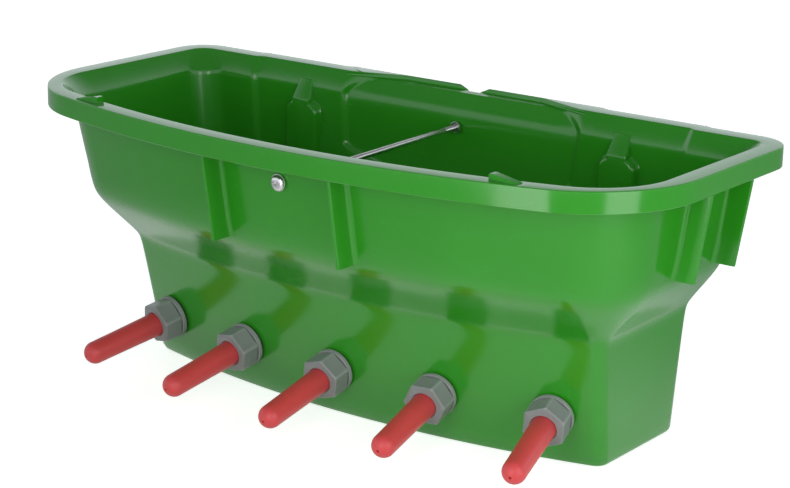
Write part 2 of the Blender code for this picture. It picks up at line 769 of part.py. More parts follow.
lean = math.atan(FRONT_LOWER_SLOPE)
bow_centre_y = BACK_LINE - front_reach(TEAT_HEIGHT) + WALL_BOW
for order in range(TEAT_COUNT):
    station = order + 1
    fan = math.asin((order - (TEAT_COUNT - 1) / 2) * TEAT_PITCH / WALL_BOW)
    spot = Vector((WALL_BOW * math.sin(fan), bow_centre_y - WALL_BOW * math.cos(fan), TEAT_HEIGHT)) * MM
    out = Vector((math.sin(fan) * math.cos(lean), -math.cos(fan) * math.cos(lean), -math.sin(lean)))
    place = Matrix.Translation(spot) @ out.to_track_quat("Z", "Y").to_matrix().to_4x4()
    turn_nut = Matrix.Rotation(math.radians((13.0, 13.0, 17.0, 2.0, 22.0)[order]), 4, "Z")
    hole = helper(f"teat_hole_{station}", hole_mesh, place)
    join_or_cut(tub, hole, "DIFFERENCE")
    add_object(f"teat_{station}", teat_mesh, place)
    add_object(f"union_nut_{station}", nut_mesh, place @ turn_nut)
    add_object(f"valve_body_{station}", body_mesh, place)
    add_object(f"sealing_gasket_{station}", seal_mesh, place)
    add_object(f"lock_nut_{station}", lock_mesh, place)
    add_object(f"ball_retainer_{station}", retainer_mesh, place)
    add_object(f"check_ball_{station}", ball_mesh, place @ Matrix.Translation((0.0, 0.0, BALL_REST * MM)))


# Tie rod across the tub's middle, held by a button-headed sleeve nut and a washer outside each wall.

front_z, back_z = RIM_HEIGHT - ROD_FRONT_DROP, RIM_HEIGHT - ROD_BACK_DROP
front_face = Vector((0.0, BACK_LINE - front_reach(front_z), front_z))
back_face = Vector((0.0, BACK_LINE + back_reach(back_z, 0), back_z))
span = (back_face - front_face).length
along = (back_face - front_face).normalized()
rod_place = Matrix.Translation(front_face * MM) @ along.to_track_quat("Z", "Y").to_matrix().to_4x4()

SLEEVE_LENGTH = 10.2
SOCKET_DEPTH = 2.6
SOCKET_RADIUS = 2.9
WASHER_THICK = 1.2
WASHER_RADIUS = 8.6
HEAD_RADIUS = 7.8
HEAD_TALL = 3.6
WALL_LEAN_ROOM = 1.9
WASHER_FROM = WALL_LEAN_ROOM
HEAD_FROM = WASHER_FROM + WASHER_THICK + GAP
JAM_FROM = WALL + WALL_LEAN_ROOM
JAM_THICK = 3.2
JAM_ACROSS = 12.0
ROD_END_ROOM = 0.6

washer_mesh = mesh_of(
    "washer",
    turned(
        [
            (SLEEVE_RADIUS + FIT, -WASHER_FROM),
            (WASHER_RADIUS, -WASHER_FROM),
            (WASHER_RADIUS, -WASHER_FROM - WASHER_THICK),
            (SLEEVE_RADIUS + FIT, -WASHER_FROM - WASHER_THICK),
        ],
        18,
    ),
)
head_profile = [
    (ROD_RADIUS + FIT, SLEEVE_LENGTH),
    (SLEEVE_RADIUS, SLEEVE_LENGTH),
    (SLEEVE_RADIUS, -HEAD_FROM),
    (HEAD_RADIUS, -HEAD_FROM),
    (HEAD_RADIUS * 0.94, -HEAD_FROM - HEAD_TALL * 0.55),
    (HEAD_RADIUS * 0.62, -HEAD_FROM - HEAD_TALL),
    (SOCKET_RADIUS, -HEAD_FROM - HEAD_TALL),
    (SOCKET_RADIUS, -HEAD_FROM - HEAD_TALL + SOCKET_DEPTH),
    (0.0, -HEAD_FROM - HEAD_TALL + SOCKET_DEPTH),
]
sleeve_profile = [(0.0, ROD_END_ROOM)] + [(ROD_RADIUS + FIT, ROD_END_ROOM)] + head_profile
sleeve_mesh = mesh_of("sleeve_nut", turned(sleeve_profile, 14))
jam_mesh = mesh_of(
    "jam_nut",
    turned(
        [
            (SLEEVE_RADIUS + FIT, JAM_FROM),
            (SLEEVE_RADIUS + FIT, JAM_FROM + JAM_THICK),
            (JAM_ACROSS / 2, JAM_FROM + JAM_THICK),
            (JAM_ACROSS / 2, JAM_FROM),
        ],
        24,
        JAM_ACROSS,
    ),
)
rod_start, rod_end = 2 * ROD_END_ROOM, span - 2 * ROD_END_ROOM
rod_mesh = mesh_of(
    "tie_rod",
    turned([(0.0, rod_start), (ROD_RADIUS, rod_start), (ROD_RADIUS, rod_end), (0.0, rod_end)], 16),
)
rod_hole_mesh = mesh_of(
    "rod_hole",
    turned(
        [
            (0.0, -hole_out),
            (SLEEVE_RADIUS + FIT, -hole_out),
            (SLEEVE_RADIUS + FIT, -hole_in),
            (0.0, -hole_in),
        ],
        18,
    ),
)
for mesh in (washer_mesh, sleeve_mesh, jam_mesh, rod_mesh):
    mesh.materials.append(STEEL)

add_object("tie_rod", rod_mesh, rod_place)
turn_round = Matrix.Translation((0.0, 0.0, span * MM)) @ Matrix.Rotation(math.pi, 4, "X")
for end, place in (("front", rod_place), ("back", rod_place @ turn_round)):
    add_object(f"{end}_sleeve_nut", sleeve_mesh, place)
    add_object(f"{end}_washer", washer_mesh, place)
    add_object(f"{end}_jam_nut", jam_mesh, place)
    hole = helper(f"{end}_rod_hole", rod_hole_mesh, place)
    join_or_cut(tub, hole, "DIFFERENCE")
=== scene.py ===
"""Five-teat calf feeding tub: a long green moulded tub with red teats in grey union nuts along its front.

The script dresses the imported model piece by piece, in the order in which the feeder is put together.
Sizes in each section are the real ones in millimetres. X runs along the tub and +Y points at its back.
"""

import math

import bmesh
import bpy
from mathutils import Matrix, Vector


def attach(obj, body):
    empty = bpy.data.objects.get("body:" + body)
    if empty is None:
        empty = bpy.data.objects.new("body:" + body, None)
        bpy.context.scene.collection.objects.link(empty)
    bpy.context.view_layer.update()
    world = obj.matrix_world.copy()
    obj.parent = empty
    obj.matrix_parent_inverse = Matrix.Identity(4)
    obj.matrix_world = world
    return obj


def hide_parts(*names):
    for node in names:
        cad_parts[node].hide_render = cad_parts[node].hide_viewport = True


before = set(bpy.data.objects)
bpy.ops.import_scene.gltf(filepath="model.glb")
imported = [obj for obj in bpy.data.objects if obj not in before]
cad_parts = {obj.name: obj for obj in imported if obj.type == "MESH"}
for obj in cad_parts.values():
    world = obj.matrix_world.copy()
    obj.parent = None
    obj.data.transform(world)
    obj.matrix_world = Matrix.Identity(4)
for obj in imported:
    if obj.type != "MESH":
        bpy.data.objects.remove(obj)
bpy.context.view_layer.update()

# Tub. One thin-walled moulding in green polypropylene with a bowed front, a sloping shoulder half way up, a
# stepped back wall and a flat rim whose skirt turns down all round. It is drawn as a stack of rounded
# outlines, up the outside, over the rim and down the inside, so its wall stays 4 mm thick.
MM = 0.001
LENGTH, DEPTH, HEIGHT, WALL = 760.0, 363.0, 306.2, 4.0
BACK = DEPTH / 2
RIM_BOW, WALL_BOW = 1088.0, 1055.0
SKIRT_FOOT = HEIGHT - 21.1
COVE = 22.0
END_BAND, FRONT_BAND = 20.5, 20.0
SHOULDER, BACK_SHOULDER = HEIGHT - 170.2, HEIGHT - 116.2
FRONT_LEAN = 0.2145
PANEL_BRIM = (25.5, 30.5, 36.5)


def soft_max(a, b, soft):
    """The larger of two values, with the change-over rounded off."""
    return (a + b + math.hypot(a - b, soft)) / 2


def soft_min(a, b, soft):
    """The smaller of two values, with the change-over rounded off."""
    return (a + b - math.hypot(a - b, soft)) / 2


def wall_reach(z, foot_z, foot, lower, shoulder, brim, upper):
    """How far a wall stands out at height z: low wall, sloping shoulder and high wall, joined softly."""
    low_wall = foot + lower * z
    slope = foot + lower * foot_z + shoulder * (z - foot_z)
    high_wall = brim - upper * (HEIGHT - z)
    return soft_max(low_wall, soft_min(slope, high_wall, 9.0), 5.0)


def end_reach(z):
    """Distance of an end wall from the tub's middle."""
    return wall_reach(z, SHOULDER, LENGTH / 2 - 94.5, 0.0625, 0.866, LENGTH / 2 - 26.4, 0.122)


def front_reach(z):
    """Distance of the front wall's middle from the back line."""
    return wall_reach(z, SHOULDER, DEPTH - 140.0, FRONT_LEAN, 1.15, DEPTH - 29.0, 0.1875)


def back_reach(z, panel):
    """The back's panels stand apart, and the middle one flares out to its ledge."""
    near_top = max(1.0 - (HEIGHT - z) / 36.0, 0.0) if panel == 0 else 0.0
    return wall_reach(z, BACK_SHOULDER, -43.0, 0.015, 0.5, -PANEL_BRIM[panel], 0.045) + 10.0 * near_top**2


def skin(reach, z, depth):
    """Reach of the skin that lies `depth` under the outer one, measured square to the wall."""
    return reach(z) - depth * math.hypot(1.0, reach(z + 0.5) - reach(z - 0.5))


def wall_level(z, depth):
    """Sizes of the wall's outline at height z, `depth` under its outer skin."""
    share = (end_reach(z) - LENGTH / 2 + 85.5) / 48.1
    share = min(max(share, 0.0), 1.0)
    sunk = HEIGHT - z
    spread = max(BACK_SHOULDER + 40.0 - z, 0.0)
    return {
        "z": z,
        "end": skin(end_reach, z, depth),
        "front": BACK - skin(front_reach, z, depth),
        "backs": [BACK + skin(lambda h, panel=panel: back_reach(h, panel), z, depth) for panel in (0, 1, 2)],
        "edges": [max(152.5 - 0.1 * sunk - 0.16 * spread**2, 70.0), 276.5 - 0.11 * sunk],
        "runs": [10.0, 10.0],
        "corner": 16.0 + 64.0 * share - depth,
        "back_corner": 16.0 + 18.0 * share - depth,
        "bow": WALL_BOW - depth,
    }


def rim_level(z, inset):
    """Sizes of the rim's outline at height z, `inset` from its outer edge."""
    return {
        "z": z,
        "end": LENGTH / 2 - inset,
        "front": inset - BACK,
        "backs": [BACK - step - inset for step in (0.0, 3.8, 6.8)],
        "edges": [162.5, 284.0],
        "runs": [10.0, 10.0],
        "corner": 128.0 - inset,
        "back_corner": 38.0 - inset,
        "bow": RIM_BOW - inset,
    }


def rim_inner_level(z, lead):
    """Sizes of the outline along the rim's inner edge, `lead` outside it."""
    level = rim_level(z, END_BAND - lead)
    level["front"] = FRONT_BAND - lead - BACK
    level["backs"] = [BACK - panel + lead for panel in (12.0, 24.0, 28.5)]
    level["edges"], level["runs"] = [127.0, 276.0], [52.0, 10.0]
    level["corner"] = 85.0 + lead
    return level


def between(first, second, share, z):
    """Sizes part of the way from one level to another."""
    made = {"z": z}
    for key in ("end", "front", "corner", "back_corner", "bow"):
        made[key] = first[key] + (second[key] - first[key]) * share
    for key in ("backs", "edges", "runs"):
        made[key] = [a + (b - a) * share for a, b in zip(first[key], second[key])]
    return made


def outline(level):
    """One level's points, from the back's middle round the right end and the front, and back again."""
    end, backs, edges = level["end"], level["backs"], level["edges"]
    half = [(0.0, backs[0])]
    start = 0.0
    for panel, (edge, run) in enumerate(zip(edges, level["runs"])):
        half += [(start + (edge - run / 2 - start) * step / 6, backs[panel]) for step in range(1, 6)]
        for step in range(9):
            share = step / 8
            eased = share * share * (3 - 2 * share)
            y = backs[panel] + (backs[panel + 1] - backs[panel]) * eased
            half.append((edge + run * (share - 0.5), y))
        start = edge + run / 2
    radius = level["back_corner"]
    half.append(((start + end - radius) / 2, backs[2]))
    for step in range(11):
        turn = math.radians(90.0 - 9.0 * step)
        half.append((end - radius + radius * math.cos(turn), backs[2] - radius + radius * math.sin(turn)))
    low_y = backs[2] - radius
    radius, bow = level["corner"], level["bow"]
    bow_y = level["front"] + bow
    centre_x = end - radius
    centre_y = bow_y - math.sqrt((bow - radius) ** 2 - centre_x**2)
    half += [(end, low_y + (centre_y - low_y) * step / 6) for step in range(1, 6)]
    last = math.atan2(centre_y - bow_y, centre_x)
    for step in range(25):
        turn = last * step / 24
        half.append((centre_x + radius * math.cos(turn), centre_y + radius * math.sin(turn)))
    for step in range(1, 25):
        turn = last + (-math.pi / 2 - last) * step / 24
        half.append((bow * math.cos(turn), bow_y + bow * math.sin(turn)))
    half[-1] = (0.0, level["front"])
    return half + [(-x, y) for x, y in reversed(half[1:-1])]


def heights_between(low, high, count):
    """Evenly spaced heights from `low` up to, but without, `high`."""
    return [low + (high - low) * step / count for step in range(count)]


def tub_levels():
    """Every level of the shell in order."""
    wall = heights_between(6.0, SHOULDER - 14.0, 9)
    wall += heights_between(SHOULDER - 14.0, SHOULDER + 14.0, 14)
    wall += heights_between(SHOULDER + 14.0, BACK_SHOULDER - 12.0, 5)
    wall += heights_between(BACK_SHOULDER - 12.0, 232.0, 18)
    wall += heights_between(232.0, HEIGHT - COVE, 12)
    levels = []
    for turn in (0, 15, 30, 45, 60, 75):
        swing = math.radians(turn)
        floor = wall_level(0.0, 6.0 * (1 - math.sin(swing)))
        levels.append({**floor, "z": 6.0 * (1 - math.cos(swing))})
    levels += [wall_level(z, 0.0) for z in wall]

    wall_top = wall_level(HEIGHT - COVE, 0.0)
    rim_under = rim_inner_level(HEIGHT - WALL, 1.5)
    for step in range(8):
        share = step / 7
        levels.append(between(wall_top, rim_under, share**1.3, HEIGHT - COVE + (COVE - WALL) * share))
    levels.append(rim_level(HEIGHT - WALL, 4.5))
    levels += [rim_level(HEIGHT - WALL - 1.0, 3.5), rim_level(SKIRT_FOOT + 0.8, 3.5)]
    for turn in (45, 90, 135, 180):
        swing = math.radians(turn)
        levels.append(rim_level(SKIRT_FOOT + 0.8 - 0.8 * math.sin(swing), 1.75 + 1.75 * math.cos(swing)))
    for turn in (0, 22.5, 45, 67.5, 90):
        swing = math.radians(turn)
        levels.append(rim_level(HEIGHT - 1.0 + math.sin(swing), 1.0 - math.cos(swing)))
    inner_top = wall_level(HEIGHT - COVE, WALL)
    edge_from, edge = rim_inner_level(HEIGHT, 1.4), rim_inner_level(HEIGHT, 0.0)
    edge_to = between(edge, inner_top, 1 - (1 - 1 / COVE) ** 1.3, HEIGHT - 1.0)
    for step in range(5):
        share = step / 4
        height = HEIGHT - share**2
        first, second = between(edge_from, edge, share, height), between(edge, edge_to, share, height)
        levels.append(between(first, second, share, height))
    for part in (0.09, 0.15, 0.22, 0.3, 0.4, 0.51, 0.63, 0.75, 0.88):
        levels.append(between(edge, inner_top, 1 - (1 - part) ** 1.3, HEIGHT - COVE * part))
    levels.append(inner_top)
    levels += [wall_level(z, WALL) for z in reversed(wall) if z > 10.0]
    levels.append(wall_level(WALL + 5.0, WALL))
    for turn in (22.5, 45, 67.5, 90):
        swing = math.radians(turn)
        floor = wall_level(WALL, WALL + 5.0 * (1 - math.cos(swing)))
        levels.append({**floor, "z": WALL + 5.0 * (1 - math.sin(swing))})
    return levels


def joined_rings(shape, rings, closed_ends=True):
    """Skins a row of equal rings, and caps the first and the last."""
    for first, second in zip(rings, rings[1:]):
        for i in range(len(first)):
            j = (i + 1) % len(first)
            shape.faces.new((first[i], first[j], second[j], second[i]))
    if closed_ends:
        shape.faces.new(rings[0])
        shape.faces.new(rings[-1])


def lofted(shape, layers):
    """Adds one closed body through layers of equal length, each a list of (x, y, z)."""
    joined_rings(shape, [[shape.verts.new(spot) for spot in layer] for layer in layers])


def finished_mesh(name, shape, sharp_degrees=32.0):
    """Turns a shape in millimetres into a mesh in metres, smooth but for its sharp edges."""
    bmesh.ops.recalc_face_normals(shape, faces=shape.faces)
    bmesh.ops.scale(shape, vec=(MM, MM, MM), verts=shape.verts)
    mesh = bpy.data.meshes.new(name)
    shape.to_mesh(mesh)
    shape.free()
    mesh.shade_smooth()
    mesh.set_sharp_from_angle(angle=math.radians(sharp_degrees))
    return mesh


def new_piece(name, mesh, place=None):
    """Puts a mesh into the scene as an object."""
    made = bpy.data.objects.new(name, mesh)
    if place is not None:
        made.matrix_world = place
    bpy.context.scene.collection.objects.link(made)
    return made


tub_shape = bmesh.new()
lofted(tub_shape, [[(x, y, level["z"]) for x, y in outline(level)] for level in tub_levels()])
tub_piece = new_piece("moulded_tub", finished_mesh("moulded_tub", tub_shape))

# Tub, what stands on the shell: two gusset fins under the front rim and two at each end, with a fillet at
# the wall and a rounded nose, two arched hook bosses with a rib that slopes from the crown up to the wall,
# the pad of the back ledge, and a small wedge-shaped catch on each side of the front rim.
added = bmesh.new()
CREST = HEIGHT - WALL + 1.4
FIN_FOOT = HEIGHT - 112.4
FIN_OUT, BOSS_OUT = 77.0, 202.0


def fin_slice(root, nose, z):
    """A fin cut level, as (out, side): a fillet at the wall and a round nose. Its argument z is not used."""
    soft = min(5.0, 0.4 * (nose - root))
    side = [(root - 2.5, 1.8 + soft), (root, 1.8 + soft)]
    for turn in (0.25, 0.5, 0.75, 1.0, 1.25, 1.57):
        side.append((root + soft - soft * math.cos(turn), 1.8 + soft - soft * math.sin(turn)))
    side += [((root + nose) / 2 + 1.2, 1.8), (nose - 1.3, 1.8)]
    side += [(nose - 1.3 + 1.3 * math.sin(turn), 0.5 + 1.3 * math.cos(turn)) for turn in (0.6, 1.1, 1.57)]
    return side + [(out, -across) for out, across in reversed(side)]


def outer_skin(reach, brim, z):
    """The wall's outside, with the cove under the rim."""
    share = min(max((z - HEIGHT + COVE) / (COVE - WALL), 0.0), 1.0) ** 1.3
    low = reach(min(z, HEIGHT - COVE))
    return low + (brim - low) * share


def fin_nose(z, foot, toe, brow, middle, top):
    """How far out the nose of a fin stands at height z, from its foot up its sloping edge to the rim."""
    if z < brow:
        return toe + (middle - toe) * (z - foot) / (brow - foot)
    return middle + (top - middle) * (z - brow) / (CREST - brow)


for hand in (-1, 1):
    x = hand * FIN_OUT
    sag = WALL_BOW - math.sqrt(WALL_BOW**2 - x**2)
    layers = []
    brow = SKIRT_FOOT - 2.5
    for z in heights_between(FIN_FOOT, brow, 8) + heights_between(brow, CREST, 8) + [CREST]:
        nose = fin_nose(z, FIN_FOOT, DEPTH - 28.4, brow, DEPTH - 12.0, DEPTH - 8.2)
        rows = fin_slice(outer_skin(front_reach, DEPTH - FRONT_BAND + 1.5, z) - sag, nose, z)
        layers.append([(x + across, BACK - out + across * x / WALL_BOW, z) for out, across in rows])
    lofted(added, layers)
    for back in (85.7, 163.3):
        layers = []
        foot, brow = FIN_FOOT + 2.0, SKIRT_FOOT - 5.0
        for z in heights_between(foot, brow, 8) + heights_between(brow, CREST, 8) + [CREST]:
            nose = fin_nose(z, foot, LENGTH / 2 - 18.0, brow, LENGTH / 2 - 4.6, LENGTH / 2 - 2.2)
            rows = fin_slice(outer_skin(end_reach, LENGTH / 2 - END_BAND + 1.5, z), nose, z)
            layers.append([(hand * out, BACK - back + across, z) for out, across in rows])
        lofted(added, layers)


def arch(x, half, crown, foot):
    """Outline of an arched niche."""
    points = [(x - half, foot), (x + half, foot)]
    for step in range(25):
        turn = math.pi * step / 24
        points.append((x + half * math.cos(turn), crown - 0.7 * half + 0.7 * half * math.sin(turn)))
    return points


ribs = bmesh.new()
for hand in (-1, 1):
    x = hand * BOSS_OUT
    layers = []
    for stand, grow in (
        (0.0, -3.4),
        (0.4, -1.9),
        (1.3, -0.7),
        (2.8, 0.0),
        (5.5, 0.5),
        (8.0, 1.6),
        (9.8, 3.2),
        (12.5, 4.6),
    ):
        layers.append([(u, BACK - 45.5 + stand, v) for u, v in arch(x, 21.0 + grow, 270.0 + grow, 187.0)])
    lofted(added, layers)
    layers = []
    for z, half, face in (
        (256.0, 9.0, 45.3),
        (266.0, 10.8, 45.4),
        (270.0, 11.5, 45.3),
        (272.0, 11.2, 44.4),
        (280.0, 10.0, 40.2),
        (288.0, 8.8, 36.2),
        (291.5, 8.4, 34.4),
    ):
        soft = min((face - 33.2) / 2.0, 1.4)
        right = [(half + 0.6, 33.2), (half, face - soft), (half - 0.3 * soft, face - 0.3 * soft)]
        right.append((half - soft, face))
        ring = [(x + u, BACK - v, z) for u, v in right] + [(x - u, BACK - v, z) for u, v in reversed(right)]
        layers.append(ring)
    lofted(ribs, layers)

LEDGE = HEIGHT - 4.7
pad_plan = [(146.0, BACK - 2.5), (146.0, BACK - 22.0), (98.0, BACK - 16.2)]
pad_plan += [(-x, y) for x, y in reversed(pad_plan)]
lofted(added, [[(x, y, z) for x, y in pad_plan] for z in (LEDGE - WALL, HEIGHT - WALL + 1.5)])

for hand in (-1, 1):
    inner = FRONT_BAND - BACK + WALL_BOW - math.sqrt(WALL_BOW**2 - 238.0**2)
    side_view = [(238.0, -2.0), (238.0, 4.9), (238.9, 5.8), (243.0, 5.8)]
    side_view += [(244.6, 5.4), (266.8, 1.3), (268.0, 0.5), (268.0, -2.0)]
    layers = []
    for y, trim in ((inner - 10.0, 0.7), (inner - 9.5, 0.0), (inner - 1.0, 0.0), (inner - 0.5, 0.7)):
        trimmed = [(u, v - min(trim, v - 0.3) if v > 0 else v) for u, v in side_view]
        layers.append([(hand * u, y, HEIGHT + v) for u, v in trimmed])
    lofted(added, layers)

# Tub, what is cut from the shell: the hollow behind each hook boss, the lowered back ledge with its slanting
# riser and notched lip, and the holes for the valve bodies and the tie rod.
removed = bmesh.new()
for hand in (-1, 1):
    layers = []
    for out, grow in ((-41.5, -1.0), (-40.5, 0.0), (-12.0, 0.0)):
        niche = arch(hand * BOSS_OUT, 17.0 + grow, 266.0 + grow, 180.0)
        layers.append([(u, BACK + out, v) for u, v in niche])
    lofted(removed, layers)


def ledge_plan(z, trim):
    """The ledge from above: its lip, a slanting riser at each side and past the rim's inner edge."""
    right = [(86.0 - trim, BACK - 2.8 - trim), (153.5 - trim, BACK - 25.8), (153.5 - trim, BACK - 40.0)]
    return [(x, y, z) for x, y in right + [(-x, y) for x, y in reversed(right)]]


ledge_layers = [(LEDGE, 1.0), (LEDGE + 0.3, 0.4), (LEDGE + 1.0, 0.0), (HEIGHT - 0.9, 0.0)]
ledge_layers += [(HEIGHT - 0.2, -0.3), (HEIGHT + 0.4, -1.0), (HEIGHT + 8.0, -1.0)]
lofted(removed, [ledge_plan(z, trim) for z, trim in ledge_layers])
notch_rows = [(-23.5, HEIGHT + 2.0), (23.5, HEIGHT + 2.0)]
notch_rows += [(10.0, HEIGHT - 4.2), (8.4, HEIGHT - 5.8), (6.4, HEIGHT - 6.4)]
notch_rows += [(-6.4, HEIGHT - 6.4), (-8.4, HEIGHT - 5.8), (-10.0, HEIGHT - 4.2)]
lofted(removed, [[(x, y, z) for x, z in notch_rows] for y in (BACK - 5.8, BACK + 3.0)])

VALVE_HEIGHT, VALVE_PITCH = 53.3, 120.6
stations = []
bow_y = BACK - front_reach(VALVE_HEIGHT) + WALL_BOW
lean = math.atan(FRONT_LEAN)
for order in range(5):
    fan = math.asin((order - 2) * VALVE_PITCH / WALL_BOW)
    spot = Vector((WALL_BOW * math.sin(fan), bow_y - WALL_BOW * math.cos(fan), VALVE_HEIGHT))
    out = Vector((math.sin(fan) * math.cos(lean), -math.cos(fan) * math.cos(lean), -math.sin(lean)))
    stations.append(Matrix.Translation(spot) @ out.to_track_quat("Z", "Y").to_matrix().to_4x4())

rod_front = Vector((0.0, BACK - front_reach(HEIGHT - 42.0), HEIGHT - 42.0))
rod_back = Vector((0.0, BACK + back_reach(HEIGHT - 38.5, 0), HEIGHT - 38.5))
rod_span = (rod_back - rod_front).length
rod_line = (rod_back - rod_front).normalized().to_track_quat("Z", "Y").to_matrix().to_4x4()
rod_place = Matrix.Translation(rod_front) @ rod_line
rod_far = rod_place @ Matrix.Translation((0.0, 0.0, rod_span)) @ Matrix.Rotation(math.pi, 4, "X")

for place, radius in [(place, 13.3) for place in stations] + [(rod_place, 4.5), (rod_far, 4.5)]:
    layers = []
    for z in (-14.0, 14.0):
        ring = [2 * math.pi * step / 40 for step in range(40)]
        round_hole = [Vector((radius * math.cos(turn), radius * math.sin(turn), z)) for turn in ring]
        layers.append([place @ corner for corner in round_hole])
    lofted(removed, layers)

for name, shape in (("tub_adds", added), ("tub_ribs", ribs), ("tub_cuts", removed)):
    operation = "DIFFERENCE" if name == "tub_cuts" else "UNION"
    tool = new_piece(name, finished_mesh(name, shape))
    step = tub_piece.modifiers.new(name, "BOOLEAN")
    step.operation = operation
    step.solver = "EXACT"
    step.use_self = operation == "DIFFERENCE"
    step.object = tool
bpy.context.view_layer.update()
carved = bpy.data.meshes.new_from_object(tub_piece.evaluated_get(bpy.context.evaluated_depsgraph_get()))
tub_piece.modifiers.clear()
tub_piece.data = carved
for name in ("tub_adds", "tub_ribs", "tub_cuts"):
    bpy.data.objects.remove(bpy.data.objects[name], do_unlink=True)
carved.shade_smooth()
carved.set_sharp_from_angle(angle=math.radians(32.0))


def colour(hex_code):
    """An sRGB hex colour as the linear values that a shader takes."""
    parts = [int(hex_code[place : place + 2], 16) / 255 for place in (1, 3, 5)]
    linear = [part / 12.92 if part <= 0.04045 else ((part + 0.055) / 1.055) ** 2.4 for part in parts]
    return (*linear, 1.0)


def add_node(made, kind, inputs=None, **settings):
    """Adds one node to a material: its settings, and its inputs as values or as sockets that feed them."""
    node = made.node_tree.nodes.new("ShaderNode" + kind)
    for key, value in settings.items():
        setattr(node, key, value)
    for key, value in (inputs or {}).items():
        if isinstance(value, bpy.types.NodeSocket):
            made.node_tree.links.new(value, node.inputs[key])
        else:
            node.inputs[key].default_value = value
    return node


def start_material(name):
    """A new material with only its Principled shader, and the piece's own coordinates in metres."""
    made = bpy.data.materials.new(name)
    made.use_nodes = True
    where = add_node(made, "TexCoord").outputs["Object"]
    return made, made.node_tree.nodes["Principled BSDF"], where


def feed(made, shader, **sockets):
    """Links sockets to the shader's inputs of the same names."""
    for key, socket in sockets.items():
        made.node_tree.links.new(socket, shader.inputs[key.replace("_", " ")])


def per_metre(size_mm):
    """Scale of a pattern whose features are about `size_mm` wide, since patterns are laid out in metres."""
    return 1.0 / (size_mm * MM)


# Polypropylene straight from a polished mould: a deep green with clouds some 110 mm wide where the melt
# flowed, a gloss that goes pale at a flat angle, a ripple of 26 mm and a few hairline scuffs from handling.
# The mould's own grain is nearer 0.1 mm, and is drawn at 0.7 mm so that it shows.
green, shader, where = start_material("green_polypropylene_moulded")
flow = add_node(
    green,
    "TexNoise",
    {"Vector": where, "Scale": per_metre(111.1), "Detail": 3.0, "Roughness": 0.5},
)
tone = add_node(
    green,
    "MixRGB",
    {"Fac": flow.outputs["Fac"], "Color1": colour("#298A19"), "Color2": colour("#2E941D")},
)
stretch = add_node(
    green,
    "Mapping",
    {
        "Vector": where,
        "Rotation": (0.3, 0.2, 0.9),
        "Scale": (per_metre(16.67), per_metre(1.111), per_metre(1.111)),
    },
)
scuff = add_node(green, "TexNoise", {"Vector": stretch.outputs["Vector"], "Scale": 1.0, "Detail": 2.0})
scuff_line = add_node(green, "MapRange", {"Value": scuff.outputs["Fac"], "From Min": 0.68, "From Max": 0.8})
scuffed = add_node(
    green,
    "MixRGB",
    {"Fac": scuff_line.outputs["Result"], "Color1": tone.outputs["Color"], "Color2": colour("#3F9C30")},
)
gloss = add_node(
    green,
    "MapRange",
    {"Value": flow.outputs["Fac"], "From Min": 0.3, "From Max": 0.7, "To Min": 0.14, "To Max": 0.19},
)
dulled = add_node(
    green,
    "Math",
    {0: scuff_line.outputs["Result"], 1: 0.06, 2: gloss.outputs["Result"]},
    operation="MULTIPLY_ADD",
)
ripple = add_node(green, "TexNoise", {"Vector": where, "Scale": per_metre(26.3), "Detail": 1.0})
grain = add_node(green, "TexNoise", {"Vector": where, "Scale": per_metre(0.714), "Detail": 2.0})
ripple_bump = add_node(green, "Bump", {"Height": ripple.outputs["Fac"], "Strength": 0.2, "Distance": 0.0006})
grain_bump = add_node(
    green,
    "Bump",
    {
        "Height": grain.outputs["Fac"],
        "Strength": 0.08,
        "Distance": 0.0001,
        "Normal": ripple_bump.outputs["Normal"],
    },
)
feed(
    green,
    shader,
    Base_Color=scuffed.outputs["Color"],
    Roughness=dulled.outputs["Value"],
    Normal=grain_bump.outputs["Normal"],
)
shader.inputs["IOR"].default_value = 1.55
carved.materials.clear()
carved.materials.append(green)
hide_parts("tub")
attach(tub_piece, "tub_body")

# Sealing gaskets. A flat ring of black rubber between each valve body's collar and the tub's wall, cut from
# sheet, so it is dull and slightly dusty.


def turned(profile, segments, reach=None):
    """A lathe-turned ring: (radius, height) points spun round Z. `reach` may change a radius by its angle."""
    shape = bmesh.new()
    rings = []
    for radius, height in profile:
        ring = []
        for step in range(segments):
            turn = 2 * math.pi * step / segments
            wide = reach(radius, height, turn) if reach else radius
            ring.append(shape.verts.new((wide * math.cos(turn), wide * math.sin(turn), height)))
        rings.append(ring)
    rings.append(rings[0])
    joined_rings(shape, rings, closed_ends=False)
    return shape


def rounded(corners, soft, steps=4):
    """A closed outline with each corner that has a radius in `soft` rounded off."""
    made = []
    count = len(corners)
    for i, (corner, radius) in enumerate(zip(corners, soft)):
        if radius <= 0.0:
            made.append(corner)
            continue
        before, here, after = Vector(corners[i - 1]), Vector(corner), Vector(corners[(i + 1) % count])
        first = here + (before - here).normalized() * radius
        last = here + (after - here).normalized() * radius
        for step in range(steps + 1):
            share = step / steps
            made.append(tuple(first.lerp(here, share).lerp(here.lerp(last, share), share)))
    return made


# Rubber sheet: near black, with a dusty bloom in specks of 4 mm and pits that keep it dull.
rubber, shader, where = start_material("black_rubber_sheet")
dust = add_node(rubber, "TexNoise", {"Vector": where, "Scale": per_metre(3.85), "Detail": 4.0})
tone = add_node(
    rubber,
    "MixRGB",
    {"Fac": dust.outputs["Fac"], "Color1": colour("#1B1C1C"), "Color2": colour("#2E3030")},
)
pits = add_node(rubber, "Bump", {"Height": dust.outputs["Fac"], "Strength": 0.3, "Distance": 0.0002})
feed(rubber, shader, Base_Color=tone.outputs["Color"], Normal=pits.outputs["Normal"])
shader.inputs["Roughness"].default_value = 0.62

gasket_rows = rounded([(13.3, 2.0), (21.0, 2.0), (21.0, 0.3), (13.3, 0.3)], (0.0, 0.4, 0.4, 0.0))
gasket_mesh = finished_mesh("gasket", turned(gasket_rows, 64))
gasket_mesh.materials.append(rubber)

